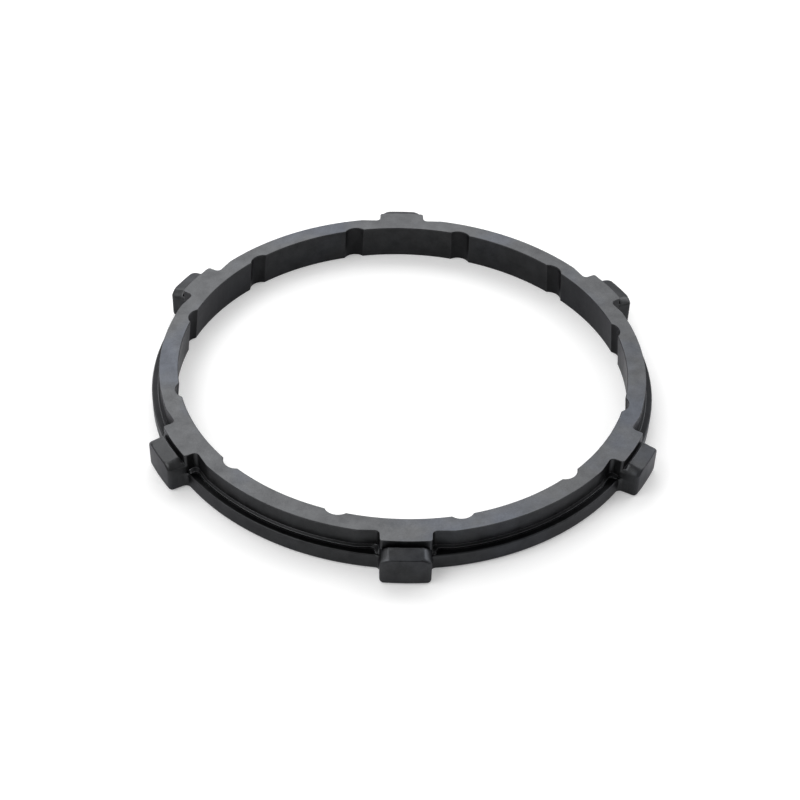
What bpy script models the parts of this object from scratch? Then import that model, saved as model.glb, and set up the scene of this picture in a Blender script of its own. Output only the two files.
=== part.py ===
"""Synchronizer ring with six drive lugs and twelve oil notches, one forged and turned steel piece.

The ring lies flat with its axis on Z and its wide face on Z = 0. One lug points along -Y.
Lengths are in metres and angles in degrees, unless a note says otherwise.
"""

import math

import bmesh
import bpy

# Ring body
ring_height = 0.0144
wall_radius = 0.0900            # outer wall between the step and the top face
wall_thickness = 0.0070         # at the top face
cone_half_angle = 6.2           # the friction cone opens downwards
flange_reach = 0.0031           # flange beyond the wall
flange_height = 0.0065
step_reach = 0.0008             # step that follows the foot of the wall
step_lift = 0.0007              # outer edge of the step over the flange
step_rise = 0.0006              # how far the step slopes up to the wall
pad_step_reach = 0.0014         # the same step along the sides of the pads
step_setback = 0.0006           # how far the step's ends stay inside the flange

# Oil notches along the friction cone
notch_count = 12
notch_radius = 0.0048
notch_depth = 0.00175
notch_mouth_radius = 0.0004
notch_phase = 13.4              # from a lug's middle to the next notch

# Drive lugs and the pads above them
lug_count = 6
lug_first_angle = -90.0
lug_reach = 0.0066              # lugs beyond the flange
lug_half_width = 0.0088         # measured at the front of the pad
lug_taper = 0.02                # half width lost for each unit outwards
lug_corner_radius = 0.0015
pad_reach = 0.0036              # pads beyond the wall
pad_corner_radius = 0.0011
flat_depth = 0.0015             # flats beside each pad, inside the wall's radius
root_fillet = 0.0017

# Forged shoulders along each lug, and the turned relief that cuts them off
crown_inner_drop = 0.00195      # crown's inner rim under the top face
crown_outer_drop = 0.00325      # crown's outer edge under the top face
shoulder_height = 0.0017        # from the crown's outer edge down to the flat flank
shoulder_width = 0.0030
shoulder_start = 30.0           # the shoulder is this part of a quarter of an ellipse
shoulder_end = 65.0
shoulder_crest = 1.05           # uncut crest over the base, as a share of the crown over the base
relief_width = 0.0009           # groove between the pad and the crown's inner rim
relief_depth = 0.0018           # groove's floor under the crown's inner rim
turning_stock = 0.00015         # metal on the pad's front that the turned relief takes off

# Edge breaks
bottom_edge_radius = 0.0012
flange_edge_radius = 0.00045
top_edge_break = 0.0003
crown_edge_break = 0.0003
bore_edge_break = 0.0003

# Number of straight pieces that each curve is drawn with
gap_pieces = 9
front_pieces = 4
corner_pieces = 3
fillet_pieces = 4
bottom_pieces = 3
edge_pieces = 2
shoulder_pieces = 5
notch_pieces = 6
mouth_pieces = 2
land_pieces = 3
turned_pieces = 180

cut_margin = 0.0010             # how far a cutter runs past the ring
smooth_angle = 30.0
flat_tolerance = 0.02           # faces closer than this to one plane become one face
merge_distance = 0.000001

steel_colour = (0.105, 0.108, 0.112, 1.0)
steel_roughness = 0.42
steel_metallic = 0.85

# Places that follow from the sizes
bore_top_radius = wall_radius - wall_thickness
flange_radius = wall_radius + flange_reach
lug_radius = flange_radius + lug_reach
pad_radius = wall_radius + pad_reach
flat_distance = wall_radius - flat_depth
step_height = flange_height + step_lift
crown_inner_height = ring_height - crown_inner_drop
crown_outer_height = ring_height - crown_outer_drop
shoulder_base = crown_outer_height - shoulder_height
relief_outer_radius = pad_radius + relief_width
relief_floor = crown_inner_height - relief_depth
quarter_turn = math.pi / 2.0
full_turn = 2.0 * math.pi


def arc(centre, radius, start, end, pieces):
    """Points along an arc, both ends included. The angles are in radians."""
    points = []
    for step in range(pieces + 1):
        angle = start + (end - start) * step / pieces
        points.append((centre[0] + radius * math.cos(angle), centre[1] + radius * math.sin(angle)))
    return points


def point_beside_flank(half_width, distance, radius):
    """The point at a distance outside the tapered flank that lies on a circle round the axis."""
    slant = math.hypot(1.0, lug_taper)
    reach = half_width + lug_taper * pad_radius + distance * slant
    square = slant ** 2 * radius ** 2 - reach ** 2
    x = (reach * lug_taper + math.sqrt(square)) / slant ** 2
    return (x, reach - lug_taper * x)


def corner_arc(half_width, radius, corner):
    """Rounded outer corner between a front round the axis and the tapered flank."""
    centre = point_beside_flank(half_width, -corner, radius - corner)
    start = math.atan2(centre[1], centre[0])
    return arc(centre, corner, start, math.atan2(1.0, lug_taper), corner_pieces)


def root_arc(half_width, body_radius, flat, fillet):
    """Hollow fillet from the flank to the flat beside it, or to the round body where no flat is given."""
    start = math.atan2(-1.0, -lug_taper)
    if flat is None:
        centre = point_beside_flank(half_width, fillet, body_radius + fillet)
        return arc(centre, fillet, start, math.atan2(-centre[1], -centre[0]), fillet_pieces)
    x = flat + fillet
    y = half_width + lug_taper * (pad_radius - x) + fillet * math.hypot(1.0, lug_taper)
    return arc((x, y), fillet, start, -math.pi, fillet_pieces)


def half_outline(level):
    """One side of a lug in plan, from the lug's middle to the middle of the gap. The lug points along +X."""
    lug_width = lug_half_width - level["lug_inset"]
    lug_corner = corner_arc(lug_width, level["lug_radius"], level["lug_corner"])
    front_end = math.atan2(lug_corner[0][1], lug_corner[0][0])
    points = arc((0.0, 0.0), level["lug_radius"], 0.0, front_end, front_pieces)[:-1]
    points += lug_corner
    points.append(point_beside_flank(lug_width, 0.0, level["pad_radius"]))
    points += corner_arc(level["pad_half_width"], level["pad_radius"], level["pad_corner"])
    points += root_arc(level["pad_half_width"], level["body_radius"], level["flat"], level["fillet"])
    if level["flat"] is None:
        body_start = math.atan2(points[-1][1], points[-1][0])
    else:
        body_start = math.acos(level["flat"] / level["body_radius"])
    points += arc((0.0, 0.0), level["body_radius"], body_start, math.pi / lug_count, gap_pieces)
    return points


def crown_height(radius):
    """Height of the turned crown at a distance from the axis."""
    share = (radius - relief_outer_radius) / (lug_radius - relief_outer_radius)
    return crown_inner_height + (crown_outer_height - crown_inner_height) * share


def level_loop(level):
    """One closed loop of points round the whole ring."""
    half = half_outline(level)
    sector = [(x, -y) for x, y in half[-2:0:-1]] + half
    loop = []
    for lug in range(lug_count):
        turn = math.radians(lug_first_angle) + lug * full_turn / lug_count
        for x, y in sector:
            z = level["z"]
            if level["crest"] is not None:
                radius = max(math.hypot(x, y), pad_radius)
                z = shoulder_base + level["crest"] * (crown_height(radius) - shoulder_base)
            loop.append((x * math.cos(turn) - y * math.sin(turn),
                         x * math.sin(turn) + y * math.cos(turn), z))
    return loop


def make_level(z=0.0, **changes):
    """A level of the forged blank. What isn't named is as on the wall above the step."""
    level = {
        "z": z,
        "crest": None,
        "body_radius": wall_radius,
        "flat": flat_distance,
        "fillet": root_fillet,
        "pad_radius": pad_radius + turning_stock,
        "pad_half_width": lug_half_width,
        "pad_corner": 0.0,
        "lug_radius": lug_radius,
        "lug_corner": lug_corner_radius,
        "lug_inset": 0.0,
    }
    level.update(changes)
    return level


def flange_levels():
    """The round flange with the feet of the lugs, from Z = 0 to the flange's top."""
    pad_on_flank = flange_radius + 2.0 * root_fillet    # a place outside the fillet, where no pad shows yet
    levels = []
    for step in range(bottom_pieces + 1):
        angle = quarter_turn * step / bottom_pieces
        inset = bottom_edge_radius * (1.0 - math.sin(angle))
        levels.append(make_level(
            bottom_edge_radius * (1.0 - math.cos(angle)), flat=None, pad_radius=pad_on_flank,
            body_radius=flange_radius - inset, fillet=root_fillet + inset, pad_half_width=lug_half_width - inset,
            lug_inset=inset, lug_radius=lug_radius - inset, lug_corner=max(0.0, lug_corner_radius - inset)))
    for step in range(edge_pieces + 1):
        angle = quarter_turn * step / edge_pieces
        levels.append(make_level(
            flange_height - flange_edge_radius * (1.0 - math.sin(angle)), flat=None, pad_radius=pad_on_flank,
            body_radius=flange_radius - flange_edge_radius * (1.0 - math.cos(angle))))
    return levels


def step_levels():
    """The step that follows the foot of the wall, the flats and the pads, and its slope up to the wall."""
    step = {
        "body_radius": wall_radius + step_reach,
        "flat": flat_distance + step_reach,
        "pad_half_width": lug_half_width + pad_step_reach,
        "pad_radius": flange_radius - step_setback,
        "pad_corner": pad_step_reach,
    }
    return [make_level(flange_height, **step), make_level(step_height, **step),
            make_level(step_height + step_rise)]


def shoulder_levels():
    """The rounded shoulders of the lugs, up to a crest that the turned relief cuts off."""
    start = math.radians(shoulder_start)
    end = math.radians(shoulder_end)
    levels = []
    for step in range(shoulder_pieces + 1):
        angle = start + (end - start) * step / shoulder_pieces
        inset = shoulder_width * (math.cos(start) - math.cos(angle)) / (math.cos(start) - math.cos(end))
        rise = (math.sin(angle) - math.sin(start)) / (math.sin(end) - math.sin(start))
        levels.append(make_level(crest=shoulder_crest * rise, lug_inset=inset,
                                 pad_corner=min(pad_corner_radius, inset)))
    return levels


def pad_levels():
    """The wall and the pads above the lugs, up to the top face with its broken edge."""
    shape = {
        "lug_radius": pad_radius + turning_stock,
        "lug_corner": 0.0,
        "lug_inset": shoulder_width,
        "pad_corner": pad_corner_radius,
    }
    top = dict(shape)
    top["body_radius"] = wall_radius - top_edge_break
    top["flat"] = flat_distance - top_edge_break
    top["fillet"] = root_fillet + top_edge_break
    top["pad_half_width"] = lug_half_width - top_edge_break
    return [make_level(crest=shoulder_crest, **shape),
            make_level(ring_height - top_edge_break, **shape), make_level(ring_height, **top)]


def notched_loop(radius, z, growth):
    """One closed loop round the bore with its notches, grown outwards by the given amount."""
    bore = radius + growth
    notch = notch_radius + growth
    mouth = notch_mouth_radius - growth
    middle = radius + notch_depth - notch_radius
    x = ((bore + mouth) ** 2 + middle ** 2 - (notch + mouth) ** 2) / (2.0 * middle)
    y = math.sqrt((bore + mouth) ** 2 - x ** 2)
    half_mouth = math.atan2(y, x)
    notch_end = math.atan2(y, x - middle)
    half_pitch = math.pi / notch_count
    upper = arc((0.0, 0.0), bore, half_mouth, half_pitch, land_pieces)
    edge = arc((x, y), mouth, notch_end + math.pi, half_mouth + math.pi, mouth_pieces)
    floor = arc((middle, 0.0), notch, 0.0, notch_end, notch_pieces // 2)
    half = floor[:-1] + edge[:-1] + upper
    sector = [(px, -py) for px, py in half[-2:0:-1]] + half
    loop = []
    for number in range(notch_count):
        turn = math.radians(lug_first_angle + notch_phase) + number * full_turn / notch_count
        for px, py in sector:
            loop.append((px * math.cos(turn) - py * math.sin(turn),
                         px * math.sin(turn) + py * math.cos(turn), z))
    return loop


def bore_radius(z):
    """Radius of the friction cone at a height."""
    return bore_top_radius + (ring_height - z) * math.tan(math.radians(cone_half_angle))


def solid_from_loops(name, loops):
    """A closed body from loops of equal length, the lowest first, with flat ends."""
    mesh_builder = bmesh.new()
    rings = [[mesh_builder.verts.new(point) for point in loop] for loop in loops]
    for lower, upper in zip(rings, rings[1:]):
        for index in range(len(lower)):
            after = (index + 1) % len(lower)
            mesh_builder.faces.new((lower[index], lower[after], upper[after], upper[index]))
    mesh_builder.faces.new(list(reversed(rings[0])))
    mesh_builder.faces.new(rings[-1])
    bmesh.ops.remove_doubles(mesh_builder, verts=mesh_builder.verts, dist=merge_distance)
    tidy_faces(mesh_builder)
    return object_from(name, mesh_builder)


def turned_solid(name, profile):
    """A ring turned round Z from a closed profile of radius and height pairs."""
    mesh_builder = bmesh.new()
    rings = []
    for step in range(turned_pieces):
        angle = full_turn * step / turned_pieces
        rings.append([mesh_builder.verts.new((r * math.cos(angle), r * math.sin(angle), z)) for r, z in profile])
    for index, ring in enumerate(rings):
        after = rings[(index + 1) % turned_pieces]
        for corner in range(len(profile)):
            following = (corner + 1) % len(profile)
            mesh_builder.faces.new((ring[corner], after[corner], after[following], ring[following]))
    return object_from(name, mesh_builder)


def tidy_faces(mesh_builder):
    """Join faces that lie in one plane, so that each flat surface is one face."""
    bmesh.ops.dissolve_degenerate(mesh_builder, edges=mesh_builder.edges, dist=merge_distance)
    bmesh.ops.dissolve_limit(mesh_builder, angle_limit=math.radians(flat_tolerance),
                             verts=mesh_builder.verts, edges=mesh_builder.edges)


def object_from(name, mesh_builder):
    """Make an object in the scene from a mesh under construction, its faces outwards."""
    bmesh.ops.recalc_face_normals(mesh_builder, faces=mesh_builder.faces)
    mesh = bpy.data.meshes.new(name)
    mesh_builder.to_mesh(mesh)
    mesh_builder.free()
    made = bpy.data.objects.new(name, mesh)
    bpy.context.scene.collection.objects.link(made)
    return made


def forged_blank():
    """The ring before turning: flange, step, wall, pads and lugs, without a bore."""
    levels = flange_levels() + step_levels() + shoulder_levels() + pad_levels()
    return solid_from_loops("synchronizer_ring", [level_loop(level) for level in levels])


def bore_cutter():
    """The friction cone with its oil notches, wider at both ends to break the edges."""
    sections = [
        (-cut_margin, 0.0, bore_edge_break),
        (0.0, 0.0, bore_edge_break),
        (bore_edge_break, bore_edge_break, 0.0),
        (ring_height - bore_edge_break, ring_height - bore_edge_break, 0.0),
        (ring_height, ring_height, bore_edge_break),
        (ring_height + cut_margin, ring_height, bore_edge_break),
    ]
    loops = [notched_loop(bore_radius(on_cone), z, growth) for z, on_cone, growth in sections]
    return solid_from_loops("bore_cutter", loops)


def relief_cutter():
    """The turned cut that faces the pads' fronts, sinks the groove and slopes the crowns of the lugs."""
    outside = lug_radius + cut_margin
    above = ring_height + cut_margin
    crown_edge = lug_radius - crown_edge_break
    profile = [
        (pad_radius, relief_floor),
        (relief_outer_radius, relief_floor),
        (relief_outer_radius, crown_inner_height),
        (crown_edge, crown_height(crown_edge)),
        (outside, crown_height(crown_edge) - (outside - crown_edge)),
        (outside, above),
        (pad_radius - top_edge_break - cut_margin, above),
        (pad_radius, ring_height - top_edge_break),
    ]
    return turned_solid("relief_cutter", profile)


def cut(body, cutter):
    """Take a cutter away from a body and keep the result as the body's own mesh."""
    modifier = body.modifiers.new(cutter.name, "BOOLEAN")
    modifier.operation = "DIFFERENCE"
    modifier.solver = "EXACT"
    modifier.object = cutter
    cutter.hide_render = True
    cutter.display_type = "WIRE"
    depsgraph = bpy.context.evaluated_depsgraph_get()
    result = bpy.data.meshes.new_from_object(body.evaluated_get(depsgraph))
    body.modifiers.remove(modifier)
    body.data = result
    bpy.data.objects.remove(cutter)


def finish_surface(body):
    """Clean the cut mesh, shade its round surfaces smooth and give it its steel."""
    mesh_builder = bmesh.new()
    mesh_builder.from_mesh(body.data)
    bmesh.ops.remove_doubles(mesh_builder, verts=mesh_builder.verts, dist=merge_distance)
    tidy_faces(mesh_builder)
    many_sided = [face for face in mesh_builder.faces if len(face.verts) > 4]
    bmesh.ops.triangulate(mesh_builder, faces=many_sided, ngon_method="BEAUTY")
    mesh_builder.to_mesh(body.data)
    mesh_builder.free()
    body.data.name = body.name
    body.data.shade_smooth()
    body.data.set_sharp_from_angle(angle=math.radians(smooth_angle))
    body.data.materials.clear()
    body.data.materials.append(dark_steel())


def dark_steel():
    """Satin dark steel, lightly oxidised."""
    material = bpy.data.materials.new("dark_steel")
    material.use_nodes = True
    shader = material.node_tree.nodes["Principled BSDF"]
    shader.inputs["Base Color"].default_value = steel_colour
    shader.inputs["Roughness"].default_value = steel_roughness
    shader.inputs["Metallic"].default_value = steel_metallic
    return material


def main():
    for old in list(bpy.data.objects):
        bpy.data.objects.remove(old)
    ring = forged_blank()
    cut(ring, relief_cutter())
    cut(ring, bore_cutter())
    finish_surface(ring)


main()
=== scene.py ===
import math

import bmesh
import bpy
from mathutils import Matrix, Vector


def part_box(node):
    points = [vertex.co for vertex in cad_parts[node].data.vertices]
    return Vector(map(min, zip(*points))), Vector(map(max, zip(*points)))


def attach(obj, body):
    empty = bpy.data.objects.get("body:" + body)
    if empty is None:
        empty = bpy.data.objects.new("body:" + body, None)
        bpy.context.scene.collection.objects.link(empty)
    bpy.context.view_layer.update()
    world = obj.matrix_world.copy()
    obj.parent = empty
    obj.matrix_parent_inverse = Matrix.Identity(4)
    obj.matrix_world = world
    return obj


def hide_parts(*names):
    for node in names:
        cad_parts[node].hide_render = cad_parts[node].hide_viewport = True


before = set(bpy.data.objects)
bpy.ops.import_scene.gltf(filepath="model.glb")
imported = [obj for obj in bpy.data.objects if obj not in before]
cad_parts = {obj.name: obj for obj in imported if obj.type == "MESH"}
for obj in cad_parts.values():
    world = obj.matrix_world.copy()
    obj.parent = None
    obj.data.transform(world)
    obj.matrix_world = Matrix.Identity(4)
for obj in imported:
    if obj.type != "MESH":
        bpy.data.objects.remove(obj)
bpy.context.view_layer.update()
cadLow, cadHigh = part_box("synchronizer_ring")

# Synchronizer ring: one forged and turned piece of steel with six drive lugs and twelve oil notches.
# Metres and degrees. The ring lies on its wide face and one lug points along -Y.

ringSizes = {
    "height": cadHigh[2],
    "wallRadius": 0.0900,
    "wallThickness": 0.0070,
    "coneHalfAngle": 6.2,           # the friction cone opens downwards
    "flangeRadius": 0.0931,
    "flangeHeight": 0.0065,
    "stepReach": 0.0008,            # step at the foot of the wall
    "stepLift": 0.0007,
    "stepRise": 0.0006,
    "padStepReach": 0.0014,         # the same step along the sides of the pads
    "stepSetback": 0.0006,
    "stepCorner": 0.0008,
    "stepFall": 0.0005,             # how far the step falls towards its ends beside the lugs
    "stepRounding": 0.00018,
    "flatDistance": 0.0885,         # flats beside each pad
    "rootFillet": 0.0017,
    "bottomRounding": 0.0012,
    "flangeRounding": 0.00045,
    "topRounding": 0.00018,
    "boreRounding": 0.0003,
}

lugSizes = {
    "count": 6,
    "firstAngle": -90.0,
    "radius": -cadLow[1],           # the lug along -Y gives the part its reach
    "halfWidth": 0.0088,
    "taper": 0.02,                  # half width lost for each unit outwards
    "cornerRadius": 0.0015,
    "padRadius": 0.0936,
    "padCorner": 0.0011,
    "crownInnerHeight": 0.01245,
    "crownOuterHeight": 0.01115,
    "shoulderBase": 0.00945,
    "shoulderWidth": 0.0030,
    "shoulderStart": 30.0,          # part of a quarter of an ellipse that the shoulder follows
    "shoulderEnd": 65.0,
    "shoulderCrest": 1.05,          # uncut crest, as a share of the crown over the base
    "flankSoftening": 0.12,         # share of that height where the flank starts to round over
    "crownSoftening": 0.13,         # the same below the crown's edge
    "crownEdge": 0.00042,
    "grooveWidth": 0.0009,
    "grooveFloor": 0.01065,
    "rimRounding": 0.00014,
}

notchSizes = {
    "count": 12,
    "radius": 0.0048,
    "depth": 0.00175,
    "mouthRadius": 0.0004,
    "phase": 13.4,                  # from a lug's middle to the next notch
}

meshPieces = {                      # how many pieces each stretch of the mesh has
    "gap": 18,
    "front": 10,
    "corner": 6,
    "flank": 4,
    "fillet": 8,
    "stepEnd": 5,
    "rounding": 4,
    "shoulder": 7,
    "notch": 10,
    "mouth": 4,
    "land": 12,
    "tone": 9,                      # rows over which the shoulder's painted light grows from the flank's painted shade
}

weldDistance = 0.000001
sharpAngle = 33.0                   # edges that turn more than this stay crisp
finishAndShadeLayer = "steelFinishAndShade"         # face attribute that the steel reads, holding the finish and the painted shade
finishesAndShades = {                        # 0 is the dark skin and 1 the turned face; the recess, flank and shoulder values paint shade and light
    "notch": 0.0,
    "recessShade": 0.01,                 # step and flange top, darkened as painted shade in these recesses
    "bore": 0.15,
    # the flank is darker and the shoulder lighter as painted shade and painted light
    "flank": 0.25,
    "forged": 0.34,
    "crown": 0.60,
    "wideFace": 0.6,
    # painted light on the shoulders, which face upwards
    "shoulder": 0.76,
    "topFace": 1.0,
}


# Plan geometry of one lug, which points along +X in its own sector

flankTurn = math.atan2(1.0, lugSizes["taper"])      # direction that the flank faces


def arcPoints(centre, radius, start, end, pieces):
    steps = [start + (end - start) * step / pieces for step in range(pieces + 1)]
    return [(centre[0] + radius * math.cos(a), centre[1] + radius * math.sin(a)) for a in steps]


def besideFlank(halfWidth, distance, radius):
    # point at a distance outside the tapered flank, on a circle round the axis
    taper = lugSizes["taper"]
    slant = math.hypot(1.0, taper)
    reach = halfWidth + taper * lugSizes["padRadius"] + distance * slant
    x = (reach * taper + math.sqrt(slant ** 2 * radius ** 2 - reach ** 2)) / slant ** 2
    return (x, reach - taper * x)


def turnOf(point):
    return math.atan2(point[1], point[0])


def cornerPoints(halfWidth, radius, corner, pieces):
    centre = besideFlank(halfWidth, -corner, radius - corner)
    return arcPoints(centre, corner, turnOf(centre), flankTurn, pieces)


def lugSide(inset, frontInset, flankEnd):
    # from the middle of the front, round the corner and along the flank to the radius flankEnd
    radius = lugSizes["radius"] - frontInset
    width = lugSizes["halfWidth"] - inset
    cornerRadius = max(lugSizes["cornerRadius"] - frontInset, 0.0)
    corner = cornerPoints(width, radius, cornerRadius, meshPieces["corner"])
    front = arcPoints((0.0, 0.0), radius, 0.0, turnOf(corner[0]), meshPieces["front"])
    cornerEnd = math.hypot(*corner[-1])
    flank = []
    for step in range(1, meshPieces["flank"] + 1):
        reach = cornerEnd + (flankEnd - cornerEnd) * step / meshPieces["flank"]
        flank.append(besideFlank(width, 0.0, reach))
    return front[:-1] + corner + flank


def rootAndGap(width, fillet, bodyRadius, flat=None):
    # hollow fillet at the lug's root and on round the body to the middle of the gap
    start = flankTurn - math.pi
    if flat is None:
        centre = besideFlank(width, fillet, bodyRadius + fillet)
        root = arcPoints(centre, fillet, start, turnOf(centre) - math.pi, meshPieces["fillet"])
        bodyStart = turnOf(root[-1])
    else:
        taper = lugSizes["taper"]
        x = flat + fillet
        y = width + taper * (lugSizes["padRadius"] - x) + fillet * math.hypot(1.0, taper)
        root = arcPoints((x, y), fillet, start, -math.pi, meshPieces["fillet"])
        bodyStart = math.acos(flat / bodyRadius)
    gap = arcPoints((0.0, 0.0), bodyRadius, bodyStart, math.pi / lugSizes["count"], meshPieces["gap"])
    return root + gap


def wallSide(inset):
    # root fillet, flat and wall above the step
    return rootAndGap(lugSizes["halfWidth"] - inset, ringSizes["rootFillet"] + inset,
                      ringSizes["wallRadius"] - inset, ringSizes["flatDistance"] - inset)


def stepSide(inset):
    # the step's rounded end beside the lug's flank, and on round the foot of the wall
    reach = ringSizes["stepReach"] - inset
    width = lugSizes["halfWidth"] + ringSizes["padStepReach"] - inset
    radius = ringSizes["flangeRadius"] - ringSizes["stepSetback"] - inset
    end = [besideFlank(lugSizes["halfWidth"], 0.0, radius)]
    end += cornerPoints(width, radius, ringSizes["stepCorner"] - inset, meshPieces["stepEnd"] - 1)
    return end + rootAndGap(width, ringSizes["rootFillet"], ringSizes["wallRadius"] + reach,
                            ringSizes["flatDistance"] + reach)


padCornerOrbit = lugSizes["padRadius"] - lugSizes["padCorner"]
padCentre = besideFlank(lugSizes["halfWidth"], -lugSizes["padCorner"], padCornerOrbit)
padFrontEnd = padCentre[1] + lugSizes["padCorner"] * math.sin(turnOf(padCentre))
padHalfWidth = padCentre[1] + lugSizes["padCorner"] * math.sin(flankTurn)
stepFoot = ringSizes["flangeRadius"] - ringSizes["stepSetback"] - 2 * ringSizes["stepRounding"]
footRadius = ringSizes["flangeRadius"] + 2 * ringSizes["rootFillet"]
rimRadius = lugSizes["padRadius"] + lugSizes["grooveWidth"]
shoulderHeight = lugSizes["crownInnerHeight"] - lugSizes["shoulderBase"]


def padPoint(y, inset):
    # the place on the pad's outline that stands at y before the outline moves in by inset
    if y > padFrontEnd:
        turn = min(flankTurn, math.asin(min(1.0, (y - padCentre[1]) / lugSizes["padCorner"])))
        reach = lugSizes["padCorner"] - inset
        return (padCentre[0] + reach * math.cos(turn), padCentre[1] + reach * math.sin(turn))
    turn = math.asin(y / lugSizes["padRadius"])
    reach = lugSizes["padRadius"] - inset
    return (reach * math.cos(turn), reach * math.sin(turn))


def crownHeight(radius):
    share = (radius - rimRadius) / (lugSizes["radius"] - rimRadius)
    drop = lugSizes["crownInnerHeight"] - lugSizes["crownOuterHeight"]
    return lugSizes["crownInnerHeight"] - drop * share


def shoulderPoint(point, share):
    radius = max(math.hypot(*point), rimRadius)
    base = lugSizes["shoulderBase"]
    return (point[0], point[1], base + share * (crownHeight(radius) - base))


def bend(start, middle, end, pieces):
    # short curve that starts towards the middle point and ends coming from it
    rows = []
    for step in range(pieces + 1):
        t = step / pieces
        rows.append(tuple((1 - t) ** 2 * a + 2 * t * (1 - t) * b + t ** 2 * c
                          for a, b, c in zip(start, middle, end)))
    return rows


def shoulderInset(share):
    # how far the shoulder stands in from the flank where it has reached this share of its height
    start = math.radians(lugSizes["shoulderStart"])
    end = math.radians(lugSizes["shoulderEnd"])
    rise = share / lugSizes["shoulderCrest"]
    turn = math.asin(math.sin(start) + rise * (math.sin(end) - math.sin(start)))
    wayIn = (math.cos(start) - math.cos(turn)) / (math.cos(start) - math.cos(end))
    return lugSizes["shoulderWidth"] * wayIn


def shoulderRows():
    # (inset of the flank, inset of the front, share of the height) from the flank up to the crown's
    # edge, and the row that meets the groove's floor
    soft = lugSizes["flankSoftening"]
    top = 1.0 - lugSizes["crownSoftening"]
    floorShare = (lugSizes["grooveFloor"] - lugSizes["shoulderBase"]) / shoulderHeight
    foot = (shoulderInset(soft), 0.0, soft)
    rows = bend((0.0, 0.0, -soft), (0.0, 0.0, 0.0), foot, meshPieces["rounding"])
    for start, end in ((soft, floorShare), (floorShare, top)):
        for step in range(1, meshPieces["shoulder"] + 1):
            share = start + (end - start) * step / meshPieces["shoulder"]
            rows.append((shoulderInset(share), 0.0, share))
    edge = lugSizes["crownEdge"]
    crest = shoulderInset(1.0)
    rows += bend(rows[-1], (crest, 0.0, 1.0), (crest + edge, edge, 1.0), meshPieces["rounding"])[1:]
    return rows, meshPieces["rounding"] + meshPieces["shoulder"]


def quarterRounding(radius, pieces):
    # (inset, distance below the flat face) from the wall up to the face
    turns = [math.pi / 2 * step / pieces for step in range(pieces + 1)]
    return [(radius * (1 - math.cos(a)), radius * (1 - math.sin(a))) for a in turns]


# Mesh work

cornerColumn = meshPieces["front"] + meshPieces["corner"]       # where the corner ends in a row
flankColumn = cornerColumn + meshPieces["flank"]


def addGrid(build, rows, finishAndShade=finishesAndShades["forged"]):
    # a grid of four-sided faces and its mirror image on the other side of the lug's middle
    layer = build.faces.layers.float.get(finishAndShadeLayer) or build.faces.layers.float.new(finishAndShadeLayer)
    for side in (1, -1):
        grid = [[build.verts.new((x, y * side, z)) for x, y, z in row] for row in rows]
        for lower, upper in zip(grid, grid[1:]):
            for index in range(len(lower) - 1):
                face = build.faces.new((lower[index], lower[index + 1], upper[index + 1], upper[index]))
                face[layer] = finishAndShade


def addSideGrid(build, rows, flankShade):
    # rows that run along the lug's front, its flank and perhaps on round the body
    middle = meshPieces["front"] + meshPieces["corner"] // 2
    addGrid(build, [row[:middle + 1] for row in rows])
    # the faces round the corner and along the flank take the painted shade given
    addGrid(build, [row[middle:flankColumn + 1] for row in rows], flankShade)
    if len(rows[0]) > flankColumn + 1:
        addGrid(build, [row[flankColumn:] for row in rows])


def addFan(build, corners):
    # triangles from the first corner over the others, for the flat part of the flank
    layer = build.faces.layers.float[finishAndShadeLayer]
    for side in (1, -1):
        points = [build.verts.new((x, y * side, z)) for x, y, z in corners]
        for second, third in zip(points[1:], points[2:]):
            face = build.faces.new((points[0], second, third))
            face[layer] = finishesAndShades["flank"]


def atHeight(points, z):
    return [(x, y, z) for x, y in points]


def flangeRows():
    # the flange and the feet of the lugs, up to the flange's flat top
    rows = []
    height = ringSizes["flangeHeight"]
    flange = ringSizes["flangeRadius"]
    for inset, drop in reversed(quarterRounding(ringSizes["bottomRounding"], meshPieces["rounding"])):
        plan = lugSide(inset, inset, footRadius) + rootAndGap(
            lugSizes["halfWidth"] - inset, ringSizes["rootFillet"] + inset, flange - inset)
        rows.append(atHeight(plan, drop))
    for inset, drop in quarterRounding(ringSizes["flangeRounding"], meshPieces["rounding"]):
        plan = lugSide(0.0, 0.0, footRadius) + rootAndGap(
            lugSizes["halfWidth"], ringSizes["rootFillet"], flange - inset)
        rows.append(atHeight(plan, height - drop))
    return rows


def stepHeight(point, height):
    # the step falls away towards its end beside the lug
    start = ringSizes["wallRadius"] + ringSizes["stepReach"]
    end = ringSizes["flangeRadius"] - ringSizes["stepSetback"]
    share = min(max((math.hypot(*point) - start) / (end - start), 0.0), 1.0)
    return (point[0], point[1], height - ringSizes["stepFall"] * share)


def stepRows():
    # from the flange's top up the step to the foot of the wall; the first point is on the lug's flank
    height = ringSizes["flangeHeight"]
    top = height + ringSizes["stepLift"]
    rows = [atHeight(stepSide(0.0), height)]
    for inset, drop in quarterRounding(ringSizes["stepRounding"], 2):
        rows.append([stepHeight(point, top - drop) for point in stepSide(inset)])
    foot = [besideFlank(lugSizes["halfWidth"], 0.0, stepFoot)] * (meshPieces["stepEnd"] + 1)
    rows.append([stepHeight(point, top + ringSizes["stepRise"]) for point in foot + wallSide(0.0)])
    return rows


def shoulderShading(count):
    # the shoulder's painted light grows over its first rows, from the flank's painted shade
    span = finishesAndShades["shoulder"] - finishesAndShades["flank"]
    return [finishesAndShades["flank"] + span * min(1.0, row / meshPieces["tone"]) for row in range(count)]


def shoulderTops(rows):
    # the lug's outline at each shoulder row, and how deep the groove's rim is rounded there
    tops, depths = [], []
    for inset, frontInset, share in rows:
        overFloor = lugSizes["shoulderBase"] + share * shoulderHeight - lugSizes["grooveFloor"]
        depths.append(min(max(overFloor / 2, 0.0), lugSizes["rimRounding"]))
        side = lugSide(inset, frontInset, rimRadius + depths[-1])
        tops.append([shoulderPoint(point, share) for point in side])
    return tops, depths


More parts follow.
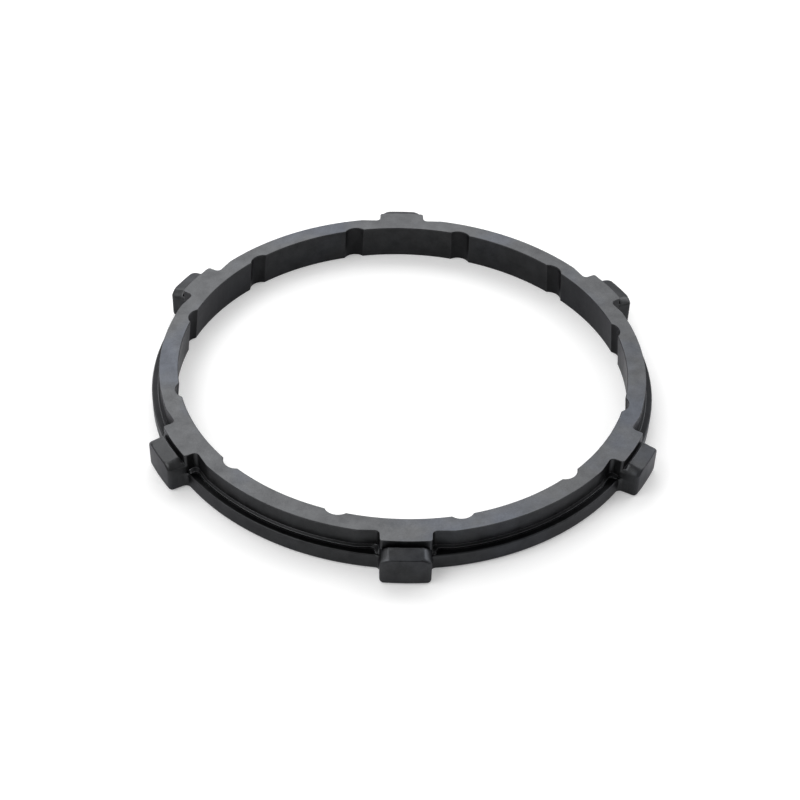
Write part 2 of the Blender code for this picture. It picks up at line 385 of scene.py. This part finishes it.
def crownRows(outline):
    # from the groove's rim out to the last shoulder row's outline
    rimTop = rimRadius + lugSizes["rimRounding"]
    spread = turnOf(outline[-1]) / turnOf(outline[cornerColumn])
    rows = []
    for number in range(meshPieces["flank"] + 1):
        row = []
        for point in outline[:cornerColumn]:
            turn = turnOf(point) * spread
            inner = Vector((rimTop * math.cos(turn), rimTop * math.sin(turn)))
            row.append(inner.lerp(Vector(point[:2]), number / meshPieces["flank"]))
        row.append(Vector(outline[-1 - number][:2]))
        rows.append([(place.x, place.y, crownHeight(place.length)) for place in row])
    return rows


def grooveColumns(rows, floorRow, tops, depths, crownRim):
    # (rim point, depth of the rim's rounding, y of the pad's point opposite) along the groove
    columns = []
    for index in range(floorRow, len(rows)):
        columns.append((tops[index][-1], depths[index], padHalfWidth - rows[index][0]))
    for point in reversed(crownRim[:-1]):
        columns.append((point, lugSizes["rimRounding"], lugSizes["padRadius"] * math.sin(turnOf(point))))
    return columns


def grooveRows(columns):
    # the groove's floor from the pad outwards, then the rounded rim of the crown
    floor = lugSizes["grooveFloor"]
    padFoot = []
    rimRows = [[] for row in range(meshPieces["rounding"] + 2)]
    for top, depth, padY in columns:
        turn = turnOf(top)
        padFoot.append(padPoint(padY, 0.0) + (floor,))
        rimRows[0].append((rimRadius * math.cos(turn), rimRadius * math.sin(turn), floor))
        for row, (inset, drop) in zip(rimRows[1:], quarterRounding(depth, meshPieces["rounding"])):
            reach = rimRadius + inset
            row.append((reach * math.cos(turn), reach * math.sin(turn), top[2] - drop))
        rimRows[-1][-1] = top
    return [padFoot] + rimRows


def padAndWallRows(padYs, padFoot, wallFoot):
    # from the foot of the pad and of the wall beside it up over the rounded top edge
    padRows = [padFoot]
    wallRows = [wallFoot, padFoot[:1] + atHeight(wallSide(0.0), padFoot[0][2])]
    for inset, drop in quarterRounding(ringSizes["topRounding"], meshPieces["rounding"]):
        z = ringSizes["height"] - drop
        padRows.append([padPoint(y, inset) + (z,) for y in padYs])
        wallRows.append(padRows[-1][:1] + atHeight(wallSide(inset), z))
    return padRows, wallRows


def lugSector():
    build = bmesh.new()
    flange = flangeRows()
    step = stepRows()
    rows, floorRow = shoulderRows()
    tops, depths = shoulderTops(rows)
    crown = crownRows(tops[-1])
    columns = grooveColumns(rows, floorRow, tops, depths, crown[0])
    groove = grooveRows(columns)

    # below the groove's floor the shoulder runs on to the pad
    padYs = [padHalfWidth - inset for inset, frontInset, share in rows[:floorRow + 1]]
    padBottoms = [padPoint(y, 0.0) + (top[-1][2],) for y, top in zip(padYs, tops)]
    ledge = [[top[-1], bottom] for top, bottom in zip(tops, padBottoms)]
    padYs += [padY for top, depth, padY in columns[1:]]
    pad, wall = padAndWallRows(padYs, padBottoms + groove[0][1:], step[-1][meshPieces["stepEnd"]:])

    addSideGrid(build, flange, finishesAndShades["flank"])
    # the step takes the painted shade of the recesses
    addGrid(build, step, finishesAndShades["recessShade"])
    addSideGrid(build, [flange[-1][:flankColumn + 1], tops[0]], finishesAndShades["flank"])
    stepStarts = [row[0] for row in step]
    addFan(build, tops[0][-1:] + flange[-1][flankColumn:flankColumn + 2] + stepStarts + padBottoms[:1])
    # painted light on the shoulder rows, growing out of the flank's painted shade
    for row, tone in enumerate(shoulderShading(len(rows) - 1)):
        addSideGrid(build, tops[row:row + 2], tone)
    for row, tone in enumerate(shoulderShading(floorRow)):
        addGrid(build, ledge[row:row + 2], tone)
    addGrid(build, crown, finishesAndShades["crown"])
    for grid in (groove, pad, wall):
        addGrid(build, grid)
    return finishedObject("lugSector", build)


def notchSector():
    # one notch with half a land on either side, along +X
    build = bmesh.new()
    height = ringSizes["height"]
    taper = math.tan(math.radians(ringSizes["coneHalfAngle"]))
    ends = quarterRounding(ringSizes["boreRounding"], meshPieces["rounding"])
    levels = [(drop, inset) for inset, drop in reversed(ends)]
    levels += [(height - drop, inset) for inset, drop in ends]
    rows = []
    for z, growth in levels:
        radius = ringSizes["wallRadius"] - ringSizes["wallThickness"] + (height - z) * taper
        rows.append(atHeight(notchHalf(radius, growth), z))
    mouth = meshPieces["notch"] // 2 + 1
    addGrid(build, [row[:mouth] for row in rows], finishesAndShades["notch"])
    addGrid(build, [row[mouth - 1:] for row in rows], finishesAndShades["bore"])
    return finishedObject("notchSector", build)


def notchHalf(boreRadius, growth):
    # from the notch's middle over its rounded mouth to the middle of the land, grown at the ends
    bore = boreRadius + growth
    notch = notchSizes["radius"] + growth
    mouth = notchSizes["mouthRadius"] - growth
    middle = boreRadius + notchSizes["depth"] - notchSizes["radius"]
    x = ((bore + mouth) ** 2 + middle ** 2 - (notch + mouth) ** 2) / (2.0 * middle)
    y = math.sqrt((bore + mouth) ** 2 - x ** 2)
    halfMouth = math.atan2(y, x)
    notchEnd = math.atan2(y, x - middle)
    floor = arcPoints((middle, 0.0), notch, 0.0, notchEnd, meshPieces["notch"] // 2)
    edge = arcPoints((x, y), mouth, notchEnd + math.pi, halfMouth + math.pi, meshPieces["mouth"])
    land = arcPoints((0.0, 0.0), bore, halfMouth, math.pi / notchSizes["count"], meshPieces["land"])
    return floor[:-1] + edge[:-1] + land


def finishedObject(name, build):
    bmesh.ops.remove_doubles(build, verts=build.verts, dist=weldDistance)
    mesh = bpy.data.meshes.new(name)
    build.to_mesh(mesh)
    build.free()
    made = bpy.data.objects.new(name, mesh)
    bpy.context.scene.collection.objects.link(made)
    return made


# Node trees, first the one that repeats a sector round the ring's axis

def addNode(tree, kind, place, **settings):
    made = tree.nodes.new(kind)
    made.location = place
    for name, value in settings.items():
        setattr(made, name, value)
    return made


def repeatRoundTree():
    tree = bpy.data.node_groups.new("repeatRound", "GeometryNodeTree")
    sockets = {
        "Geometry": "NodeSocketGeometry",
        "Count": "NodeSocketInt",
        "First Angle": "NodeSocketFloat",
        "Weld Distance": "NodeSocketFloat",
        "Steel": "NodeSocketMaterial",
    }
    for name, kind in sockets.items():
        tree.interface.new_socket(name, in_out="INPUT", socket_type=kind)
    tree.interface.new_socket("Geometry", in_out="OUTPUT", socket_type="NodeSocketGeometry")
    entry = addNode(tree, "NodeGroupInput", (-1000, 0)).outputs
    points = addNode(tree, "GeometryNodePoints", (-200, 150))
    index = addNode(tree, "GeometryNodeInputIndex", (-800, -100))
    pitch = addNode(tree, "ShaderNodeMath", (-800, -200), operation="DIVIDE")
    pitch.inputs[0].default_value = 2 * math.pi
    turn = addNode(tree, "ShaderNodeMath", (-600, -150), operation="MULTIPLY_ADD")
    rotation = addNode(tree, "FunctionNodeAxisAngleToRotation", (-400, -150))
    rotation.inputs["Axis"].default_value = (0.0, 0.0, 1.0)
    placed = addNode(tree, "GeometryNodeInstanceOnPoints", (0, 0))
    real = addNode(tree, "GeometryNodeRealizeInstances", (200, 0))
    weld = addNode(tree, "GeometryNodeMergeByDistance", (400, 0))
    coat = addNode(tree, "GeometryNodeSetMaterial", (600, 0))
    leave = addNode(tree, "NodeGroupOutput", (800, 0))
    for start, end in (
        (entry["Count"], points.inputs["Count"]),
        (entry["Count"], pitch.inputs[1]),
        (index.outputs[0], turn.inputs[0]),
        (pitch.outputs[0], turn.inputs[1]),
        (entry["First Angle"], turn.inputs[2]),
        (turn.outputs[0], rotation.inputs["Angle"]),
        (points.outputs[0], placed.inputs["Points"]),
        (entry["Geometry"], placed.inputs["Instance"]),
        (rotation.outputs[0], placed.inputs["Rotation"]),
        (placed.outputs[0], real.inputs[0]),
        (real.outputs[0], weld.inputs["Geometry"]),
        (entry["Weld Distance"], weld.inputs["Distance"]),
        (weld.outputs[0], coat.inputs["Geometry"]),
        (entry["Steel"], coat.inputs["Material"]),
        (coat.outputs[0], leave.inputs[0]),
    ):
        tree.links.new(start, end)
    return tree


def repeatRound(sector, tree, steel, count, firstAngle):
    # runs the tree on a sector and returns the whole round as a plain mesh
    values = {
        "Count": count,
        "First Angle": math.radians(firstAngle),
        "Weld Distance": weldDistance,
        "Steel": steel,
    }
    modifier = sector.modifiers.new("repeatRound", "NODES")
    modifier.node_group = tree
    for socket in tree.interface.items_tree:
        if socket.in_out == "INPUT" and socket.name in values:
            modifier[socket.identifier] = values[socket.name]
    graph = bpy.context.evaluated_depsgraph_get()
    mesh = bpy.data.meshes.new_from_object(sector.evaluated_get(graph))
    sector.modifiers.remove(modifier)
    bpy.data.objects.remove(sector)
    return mesh


flatFaces = (                       # height, the side that it faces, finish and painted shade
    (0.0, -1.0, "wideFace"),
    (ringSizes["flangeHeight"], 1.0, "recessShade"),
    (ringSizes["height"], 1.0, "topFace"),
)


def closeFlats(build):
    # fills the two flat faces and the flange's top between their open rims
    layer = build.faces.layers.float[finishAndShadeLayer]
    for z, side, finishAndShade in flatFaces:
        rim = [edge for edge in build.edges
               if edge.is_boundary and all(abs(end.co.z - z) < weldDistance for end in edge.verts)]
        filled = bmesh.ops.triangle_fill(build, use_beauty=True, use_dissolve=False, edges=rim,
                                         normal=(0.0, 0.0, 1.0))
        for face in filled["geom"]:
            if isinstance(face, bmesh.types.BMFace):
                face[layer] = finishesAndShades[finishAndShade]


def joinShells(name, shells, steel):
    # welds the outside and the bore to one closed mesh with crisp and smooth edges
    build = bmesh.new()
    for shell in shells:
        build.from_mesh(shell)
    bmesh.ops.remove_doubles(build, verts=build.verts, dist=weldDistance)
    bmesh.ops.dissolve_degenerate(build, edges=build.edges, dist=weldDistance)
    closeFlats(build)
    bmesh.ops.recalc_face_normals(build, faces=build.faces)
    mesh = bpy.data.meshes.new(name)
    build.to_mesh(mesh)
    openEdges = sum(1 for edge in build.edges if not edge.is_manifold)
    print(f"{name}: {len(build.faces)} faces, {openEdges} open edges")
    build.free()
    mesh.materials.append(steel)
    mesh.shade_smooth()
    mesh.set_sharp_from_angle(angle=math.radians(sharpAngle))
    made = bpy.data.objects.new(name, mesh)
    bpy.context.scene.collection.objects.link(made)
    weightNormals(made)
    flattenNormals(made.data)
    return made


def weightNormals(made):
    # large faces lead the normals of the small ones beside them, up to the crisp edges
    weighted = made.modifiers.new("faceWeighted", "WEIGHTED_NORMAL")
    weighted.mode = "FACE_AREA"
    weighted.weight = 100
    weighted.keep_sharp = True
    graph = bpy.context.evaluated_depsgraph_get()
    made.data = bpy.data.meshes.new_from_object(made.evaluated_get(graph))
    made.modifiers.remove(weighted)
    made.data.name = made.name


def flattenNormals(mesh):
    # the corners on each flat face point straight off it, so that the roundings blend into a flat
    normals = [Vector(corner.vector) for corner in mesh.corner_normals]
    for polygon in mesh.polygons:
        for corner in polygon.loop_indices:
            z = mesh.vertices[mesh.loops[corner].vertex_index].co.z
            for plane, side, finishAndShade in flatFaces:
                if abs(z - plane) < weldDistance and polygon.normal.z * side > 0.5:
                    normals[corner] = Vector((0.0, 0.0, side))
    mesh.normals_split_custom_set(normals)


# Steel

steelLook = {
    "darkSkin": (0.016, 0.0163, 0.0171, 1.0),   # in the notches
    "turned": (0.075, 0.0767, 0.0793, 1.0),     # on the top face
    "stain": (0.72, 0.80, 1.0, 1.0),            # bluish heat tint, multiplied in patches
    "stainStart": 0.50,
    "stainFull": 0.66,
    "stainShare": 0.5,
    "stainOnSkin": 0.35,                        # the dark skin shows less of it
    "metallic": 0.96,
    "glancing": (0.68, 0.68, 0.70, 1.0),        # a dull skin doesn't light up at a glancing angle
    "skinRoughness": 0.38,
    "turnedRoughness": 0.36,
    "roughnessSwing": 0.05,
    "fineStrength": 0.5,                        # bump of the grain and the turning marks
    "fineDepth": 0.00002,
    "grainShare": 0.5,                          # depth of the grain beside the turning marks
    "forgingStretch": (1.0, 1.0, 0.35),         # die marks run up the sides
    "forgingStrength": 0.6,
    "forgingDepth": 0.00012,
    "forgedUpTo": 0.3,                          # value of the finish and shade attribute where the forging marks start to fade
    "smoothFrom": 0.6,                          # and where they are gone
    # lighter steel on worn edges, partly real wear and partly a painted highlight along the rims
    "wornEdgeAndHighlight": (0.160, 0.163, 0.170, 1.0),
    "edgeWidth": 0.0005,
    "edgeSamples": 6,
    "wearStart": 0.995,                         # cosine between the face and its rounded normal
    "wearFull": 0.86,
    "wearShare": 0.7,
}

# Noise patterns. From low to high a pattern lightens the steel by its swing each way.
patterns = {
    "mottle": {"scale": 190.0, "detail": 5.0, "roughness": 0.62, "low": 0.30, "high": 0.70, "swing": 0.24},
    "cloud": {"scale": 30.0, "detail": 4.0, "roughness": 0.55, "low": 0.35, "high": 0.65, "swing": 0.09},
    "grain": {"scale": 2600.0, "detail": 3.0, "roughness": 0.70, "low": 0.30, "high": 0.70, "swing": 0.14},
    "forging": {"scale": 300.0, "detail": 4.0, "roughness": 0.50},
    "turning": {"scale": 2600.0, "detail": 3.0},
}


def mathNode(tree, operation, place, first, second=None, third=None):
    made = addNode(tree, "ShaderNodeMath", place, operation=operation)
    for slot, value in enumerate((first, second, third)):
        if value is None:
            continue
        if isinstance(value, (int, float)):
            made.inputs[slot].default_value = value
        else:
            tree.links.new(value, made.inputs[slot])
    return made.outputs[0]


def mixColour(tree, place, factor, first, second, blend="MIX"):
    made = addNode(tree, "ShaderNodeMix", place, data_type="RGBA", blend_type=blend)
    for slot, value in ((0, factor), (6, first), (7, second)):
        if isinstance(value, (int, float, tuple)):
            made.inputs[slot].default_value = value
        else:
            tree.links.new(value, made.inputs[slot])
    return made.outputs[2]


def rangeNode(tree, place, value, low, high, toLow, toHigh):
    made = addNode(tree, "ShaderNodeMapRange", place)
    tree.links.new(value, made.inputs[0])
    for slot, number in zip((1, 2, 3, 4), (low, high, toLow, toHigh)):
        made.inputs[slot].default_value = number
    return made.outputs[0]


def noiseNode(tree, place, vector, name):
    pattern = patterns[name]
    made = addNode(tree, "ShaderNodeTexNoise", place)
    made.inputs["Scale"].default_value = pattern["scale"]
    made.inputs["Detail"].default_value = pattern["detail"]
    made.inputs["Roughness"].default_value = pattern["roughness"]
    tree.links.new(vector, made.inputs["Vector"])
    return made.outputs["Fac"]


def swingNode(tree, place, noise, name, middle=1.0, swing=None):
    # a value round the middle that follows the pattern's noise
    pattern = patterns[name]
    swing = pattern["swing"] if swing is None else swing
    return rangeNode(tree, place, noise, pattern["low"], pattern["high"], middle - swing, middle + swing)


def turningRings(tree, place):
    # turning marks are rings round the axis, a new depth for each ring
    parts = addNode(tree, "ShaderNodeSeparateXYZ", (-1700, -200))
    tree.links.new(place, parts.inputs[0])
    x, y, z = parts.outputs
    square = mathNode(tree, "MULTIPLY", (-1500, -300), y, y)
    squares = mathNode(tree, "MULTIPLY_ADD", (-1350, -200), x, x, square)
    radius = mathNode(tree, "SQRT", (-1200, -200), squares)
    rings = addNode(tree, "ShaderNodeTexNoise", (-850, -250), noise_dimensions="1D")
    rings.inputs["Scale"].default_value = patterns["turning"]["scale"]
    rings.inputs["Detail"].default_value = patterns["turning"]["detail"]
    tree.links.new(mathNode(tree, "ADD", (-1050, -200), radius, z), rings.inputs["W"])
    return rings.outputs["Fac"]


def wornEdgesAndHighlights(tree):
    # 1 where the rounded normal turns away from the face: worn edges, which also carry a painted highlight
    rounded = addNode(tree, "ShaderNodeBevel", (-1500, 1000), samples=steelLook["edgeSamples"])
    rounded.inputs["Radius"].default_value = steelLook["edgeWidth"]
    facing = addNode(tree, "ShaderNodeNewGeometry", (-1500, 850))
    dot = addNode(tree, "ShaderNodeVectorMath", (-1300, 950), operation="DOT_PRODUCT")
    tree.links.new(rounded.outputs[0], dot.inputs[0])
    tree.links.new(facing.outputs["Normal"], dot.inputs[1])
    wear = rangeNode(tree, (-1100, 950), dot.outputs["Value"], steelLook["wearStart"],
                     steelLook["wearFull"], 0.0, 1.0)
    return mathNode(tree, "MULTIPLY", (-400, 700), wear, steelLook["wearShare"])


def steelColour(tree, turned, mottle, cloud, grain):
    look = steelLook
    # the mix by this attribute is the steel's finish, and also painted shade in recesses and on flanks and
    # painted light on shoulders
    ground = mixColour(tree, (-700, 500), turned, look["darkSkin"], look["turned"])
    blue = rangeNode(tree, (-900, 850), cloud, look["stainStart"], look["stainFull"],
                     0.0, look["stainShare"])
    shown = rangeNode(tree, (-900, 1050), turned, 0.0, 1.0, look["stainOnSkin"], 1.0)
    patches = mathNode(tree, "MULTIPLY", (-700, 650), blue, shown)
    stained = mixColour(tree, (-500, 500), patches, ground, look["stain"], "MULTIPLY")
    shade = swingNode(tree, (-900, 400), mottle, "mottle")
    broad = swingNode(tree, (-900, 700), cloud, "cloud")
    fine = swingNode(tree, (-900, 200), grain, "grain")
    coarse = mathNode(tree, "MULTIPLY", (-700, 350), shade, broad)
    toned = addNode(tree, "ShaderNodeVectorMath", (-400, 350), operation="SCALE")
    tree.links.new(stained, toned.inputs[0])
    tree.links.new(mathNode(tree, "MULTIPLY", (-700, 250), coarse, fine), toned.inputs["Scale"])
    # edges lightened as wear and as a painted highlight
    return mixColour(tree, (-200, 350), wornEdgesAndHighlights(tree), toned.outputs[0], look["wornEdgeAndHighlight"])


def steelRelief(tree, place, turned, grain):
    look = steelLook
    rings = mathNode(tree, "MULTIPLY", (-600, -300), turningRings(tree, place), turned)
    fine = addNode(tree, "ShaderNodeBump", (-250, -300))
    fine.inputs["Strength"].default_value = look["fineStrength"]
    fine.inputs["Distance"].default_value = look["fineDepth"]
    marks = mathNode(tree, "MULTIPLY_ADD", (-450, -300), grain, look["grainShare"], rings)
    tree.links.new(marks, fine.inputs["Height"])

    # the forged skin is a little uneven, the turned face is flat
    upright = addNode(tree, "ShaderNodeMapping", (-1700, -500))
    upright.inputs["Scale"].default_value = look["forgingStretch"]
    tree.links.new(place, upright.inputs["Vector"])
    forging = noiseNode(tree, (-1500, -500), upright.outputs[0], "forging")
    fade = rangeNode(tree, (-650, -600), turned, look["forgedUpTo"], look["smoothFrom"], 1.0, 0.0)
    uneven = addNode(tree, "ShaderNodeBump", (-50, -300))
    uneven.inputs["Strength"].default_value = look["forgingStrength"]
    uneven.inputs["Distance"].default_value = look["forgingDepth"]
    tree.links.new(mathNode(tree, "MULTIPLY", (-450, -500), forging, fade), uneven.inputs["Height"])
    tree.links.new(fine.outputs[0], uneven.inputs["Normal"])
    return uneven.outputs[0]


def darkSteel():
    look = steelLook
    material = bpy.data.materials.new("darkSteel")
    material.use_nodes = True
    tree = material.node_tree
    shader = tree.nodes["Principled BSDF"]
    shader.inputs["Metallic"].default_value = look["metallic"]
    shader.inputs["Specular Tint"].default_value = look["glancing"]
    place = addNode(tree, "ShaderNodeTexCoord", (-1900, 0)).outputs["Object"]
    # the finish attribute also carries painted shade and painted light
    turned = addNode(tree, "ShaderNodeAttribute", (-1900, 300), attribute_name=finishAndShadeLayer).outputs["Fac"]
    mottle = noiseNode(tree, (-1500, 500), place, "mottle")
    cloud = noiseNode(tree, (-1500, 700), place, "cloud")
    grain = noiseNode(tree, (-1500, 300), place, "grain")
    tree.links.new(steelColour(tree, turned, mottle, cloud, grain), shader.inputs["Base Color"])

    rough = rangeNode(tree, (-700, 0), turned, 0.0, 1.0, look["skinRoughness"], look["turnedRoughness"])
    uneven = swingNode(tree, (-900, 0), mottle, "mottle", 0.0, look["roughnessSwing"])
    tree.links.new(mathNode(tree, "ADD", (-300, 0), rough, uneven), shader.inputs["Roughness"])
    tree.links.new(steelRelief(tree, place, turned, grain), shader.inputs["Normal"])
    return material


# Studio

studio = {
    "floorSize": 6.0,
    "floorDrop": 0.00003,           # keeps the floor clear of the face that lies on it
    "floorColour": (0.82, 0.82, 0.82, 1.0),
    "floorRoughness": 0.9,
    "floorLift": 0.28,              # white that the camera sees on top of the lit floor
    "horizon": 1.0,                 # the studio's far wall, and its darker ceiling
    "ceiling": 0.50,
    "wallTop": 0.25,                # sine of the height where the walls start to darken
    "ceilingStart": 0.85,
    "nearWall": 0.35,               # the wall behind the camera, as a share of the far one
    "nearWallEnd": -0.7,            # the light grows from here to the start of the far wall
    "farWallStart": 0.5,
    "backLight": {"place": (-0.20, 0.76, 0.80), "width": 1.15, "depth": 1.0, "power": 7.6},
    "leftLight": {"place": (-0.65, -0.32, 0.88), "width": 0.8, "depth": 0.8, "power": 5.0},
    "rightLight": {"place": (0.85, 0.45, 0.75), "width": 0.7, "depth": 0.7, "power": 3.4},
}

cameraView = {
    "unit": ringSizes["wallRadius"],        # the view was matched in units of the wall's radius
    "focalPixels": 1674.012,
    "imagePixels": 800,
    "sensorWidth": 36.0,            # millimetres, as the lens
    "clipStart": 0.01,
    "back": 5.2985,
    "up": 4.5965,
    "pitch": 41.3038,
    "yaw": 1.2603,
    "roll": 2.8857,
    "turn": -1.829,                 # the whole view turned about the ring's axis
    "shiftPixels": -30,
}


def whiteForView(tree):
    # 1 where the camera, a mirror reflection or glass looks straight at the surface
    path = addNode(tree, "ShaderNodeLightPath", (-900, 200)).outputs
    seen = mathNode(tree, "MAXIMUM", (-700, 200), path["Is Camera Ray"], path["Is Glossy Ray"])
    return mathNode(tree, "MAXIMUM", (-500, 200), seen, path["Is Transmission Ray"])


def makeFloor():
    half = studio["floorSize"] / 2
    z = -studio["floorDrop"]
    mesh = bpy.data.meshes.new("floor")
    corners = [(-half, -half, z), (half, -half, z), (half, half, z), (-half, half, z)]
    mesh.from_pydata(corners, [], [(0, 1, 2, 3)])
    floor = bpy.data.objects.new("floor", mesh)
    bpy.context.scene.collection.objects.link(floor)
    material = bpy.data.materials.new("studioFloor")
    material.use_nodes = True
    tree = material.node_tree
    shader = tree.nodes["Principled BSDF"]
    shader.inputs["Base Color"].default_value = studio["floorColour"]
    shader.inputs["Roughness"].default_value = studio["floorRoughness"]
    shader.inputs["Specular IOR Level"].default_value = 0.0
    shader.inputs["Emission Color"].default_value = (1.0, 1.0, 1.0, 1.0)
    lift = mathNode(tree, "MULTIPLY", (-300, 200), whiteForView(tree), studio["floorLift"])
    tree.links.new(lift, shader.inputs["Emission Strength"])
    mesh.materials.append(material)


def makeLight(name):
    settings = studio[name]
    lamp = bpy.data.lights.new(name, "AREA")
    lamp.shape = "RECTANGLE"
    lamp.size = settings["width"]
    lamp.size_y = settings["depth"]
    lamp.energy = settings["power"]
    made = bpy.data.objects.new(name, lamp)
    made.location = settings["place"]
    made.rotation_mode = "QUATERNION"
    made.rotation_quaternion = (-Vector(settings["place"])).to_track_quat("-Z", "Y")
    bpy.context.scene.collection.objects.link(made)


def makeWorld():
    # pale walls all round and a darker ceiling
    world = bpy.data.worlds.new("studioWorld")
    bpy.context.scene.world = world
    world.use_nodes = True
    tree = world.node_tree
    background = tree.nodes["Background"]
    background.inputs["Color"].default_value = (1.0, 1.0, 1.0, 1.0)
    direction = addNode(tree, "ShaderNodeTexCoord", (-900, 0))
    parts = addNode(tree, "ShaderNodeSeparateXYZ", (-700, 0))
    tree.links.new(direction.outputs["Generated"], parts.inputs[0])
    upwards = rangeNode(tree, (-500, 0), parts.outputs["Z"], studio["wallTop"], studio["ceilingStart"],
                        studio["horizon"], studio["ceiling"])
    across = rangeNode(tree, (-500, -300), parts.outputs["Y"], studio["nearWallEnd"],
                       studio["farWallStart"], studio["nearWall"], 1.0)
    strength = mathNode(tree, "MULTIPLY", (-300, 0), upwards, across)
    tree.links.new(strength, background.inputs["Strength"])


def makeCamera():
    view = cameraView
    pitch, yaw, roll = (math.radians(view[name]) for name in ("pitch", "yaw", "roll"))
    place = Vector((0.0, -view["back"], view["up"])) * view["unit"]
    ahead = Vector((math.sin(yaw) * math.cos(pitch), math.cos(yaw) * math.cos(pitch), -math.sin(pitch)))
    level = Vector((math.cos(yaw), -math.sin(yaw), 0.0))
    over = level.cross(ahead)
    right = level * math.cos(roll) + over * math.sin(roll)
    up = over * math.cos(roll) - level * math.sin(roll)
    pose = Matrix((right, up, -ahead)).transposed().to_4x4()
    pose.translation = place
    camera = bpy.data.cameras.new("photoCamera")
    camera.sensor_width = view["sensorWidth"]
    camera.lens = view["focalPixels"] * camera.sensor_width / view["imagePixels"]
    camera.shift_x = view["shiftPixels"] / view["imagePixels"]
    camera.clip_start = view["clipStart"]
    made = bpy.data.objects.new("photoCamera", camera)
    made.matrix_world = Matrix.Rotation(math.radians(view["turn"]), 4, "Z") @ pose
    bpy.context.scene.collection.objects.link(made)
    bpy.context.scene.camera = made


steel = darkSteel()
repeatTree = repeatRoundTree()
outsideShell = repeatRound(lugSector(), repeatTree, steel, lugSizes["count"], lugSizes["firstAngle"])
print("lug sectors repeated")
firstNotch = lugSizes["firstAngle"] + notchSizes["phase"]
boreShell = repeatRound(notchSector(), repeatTree, steel, notchSizes["count"], firstNotch)
print("oil notches repeated")
ring = joinShells("steelRing", (outsideShell, boreShell), steel)
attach(ring, "root")
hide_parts("synchronizer_ring")

makeFloor()
for lightName in ("backLight", "leftLight", "rightLight"):
    makeLight(lightName)
makeWorld()
makeCamera()
bpy.context.scene.view_settings.view_transform = "Standard"
print("studio and camera ready")
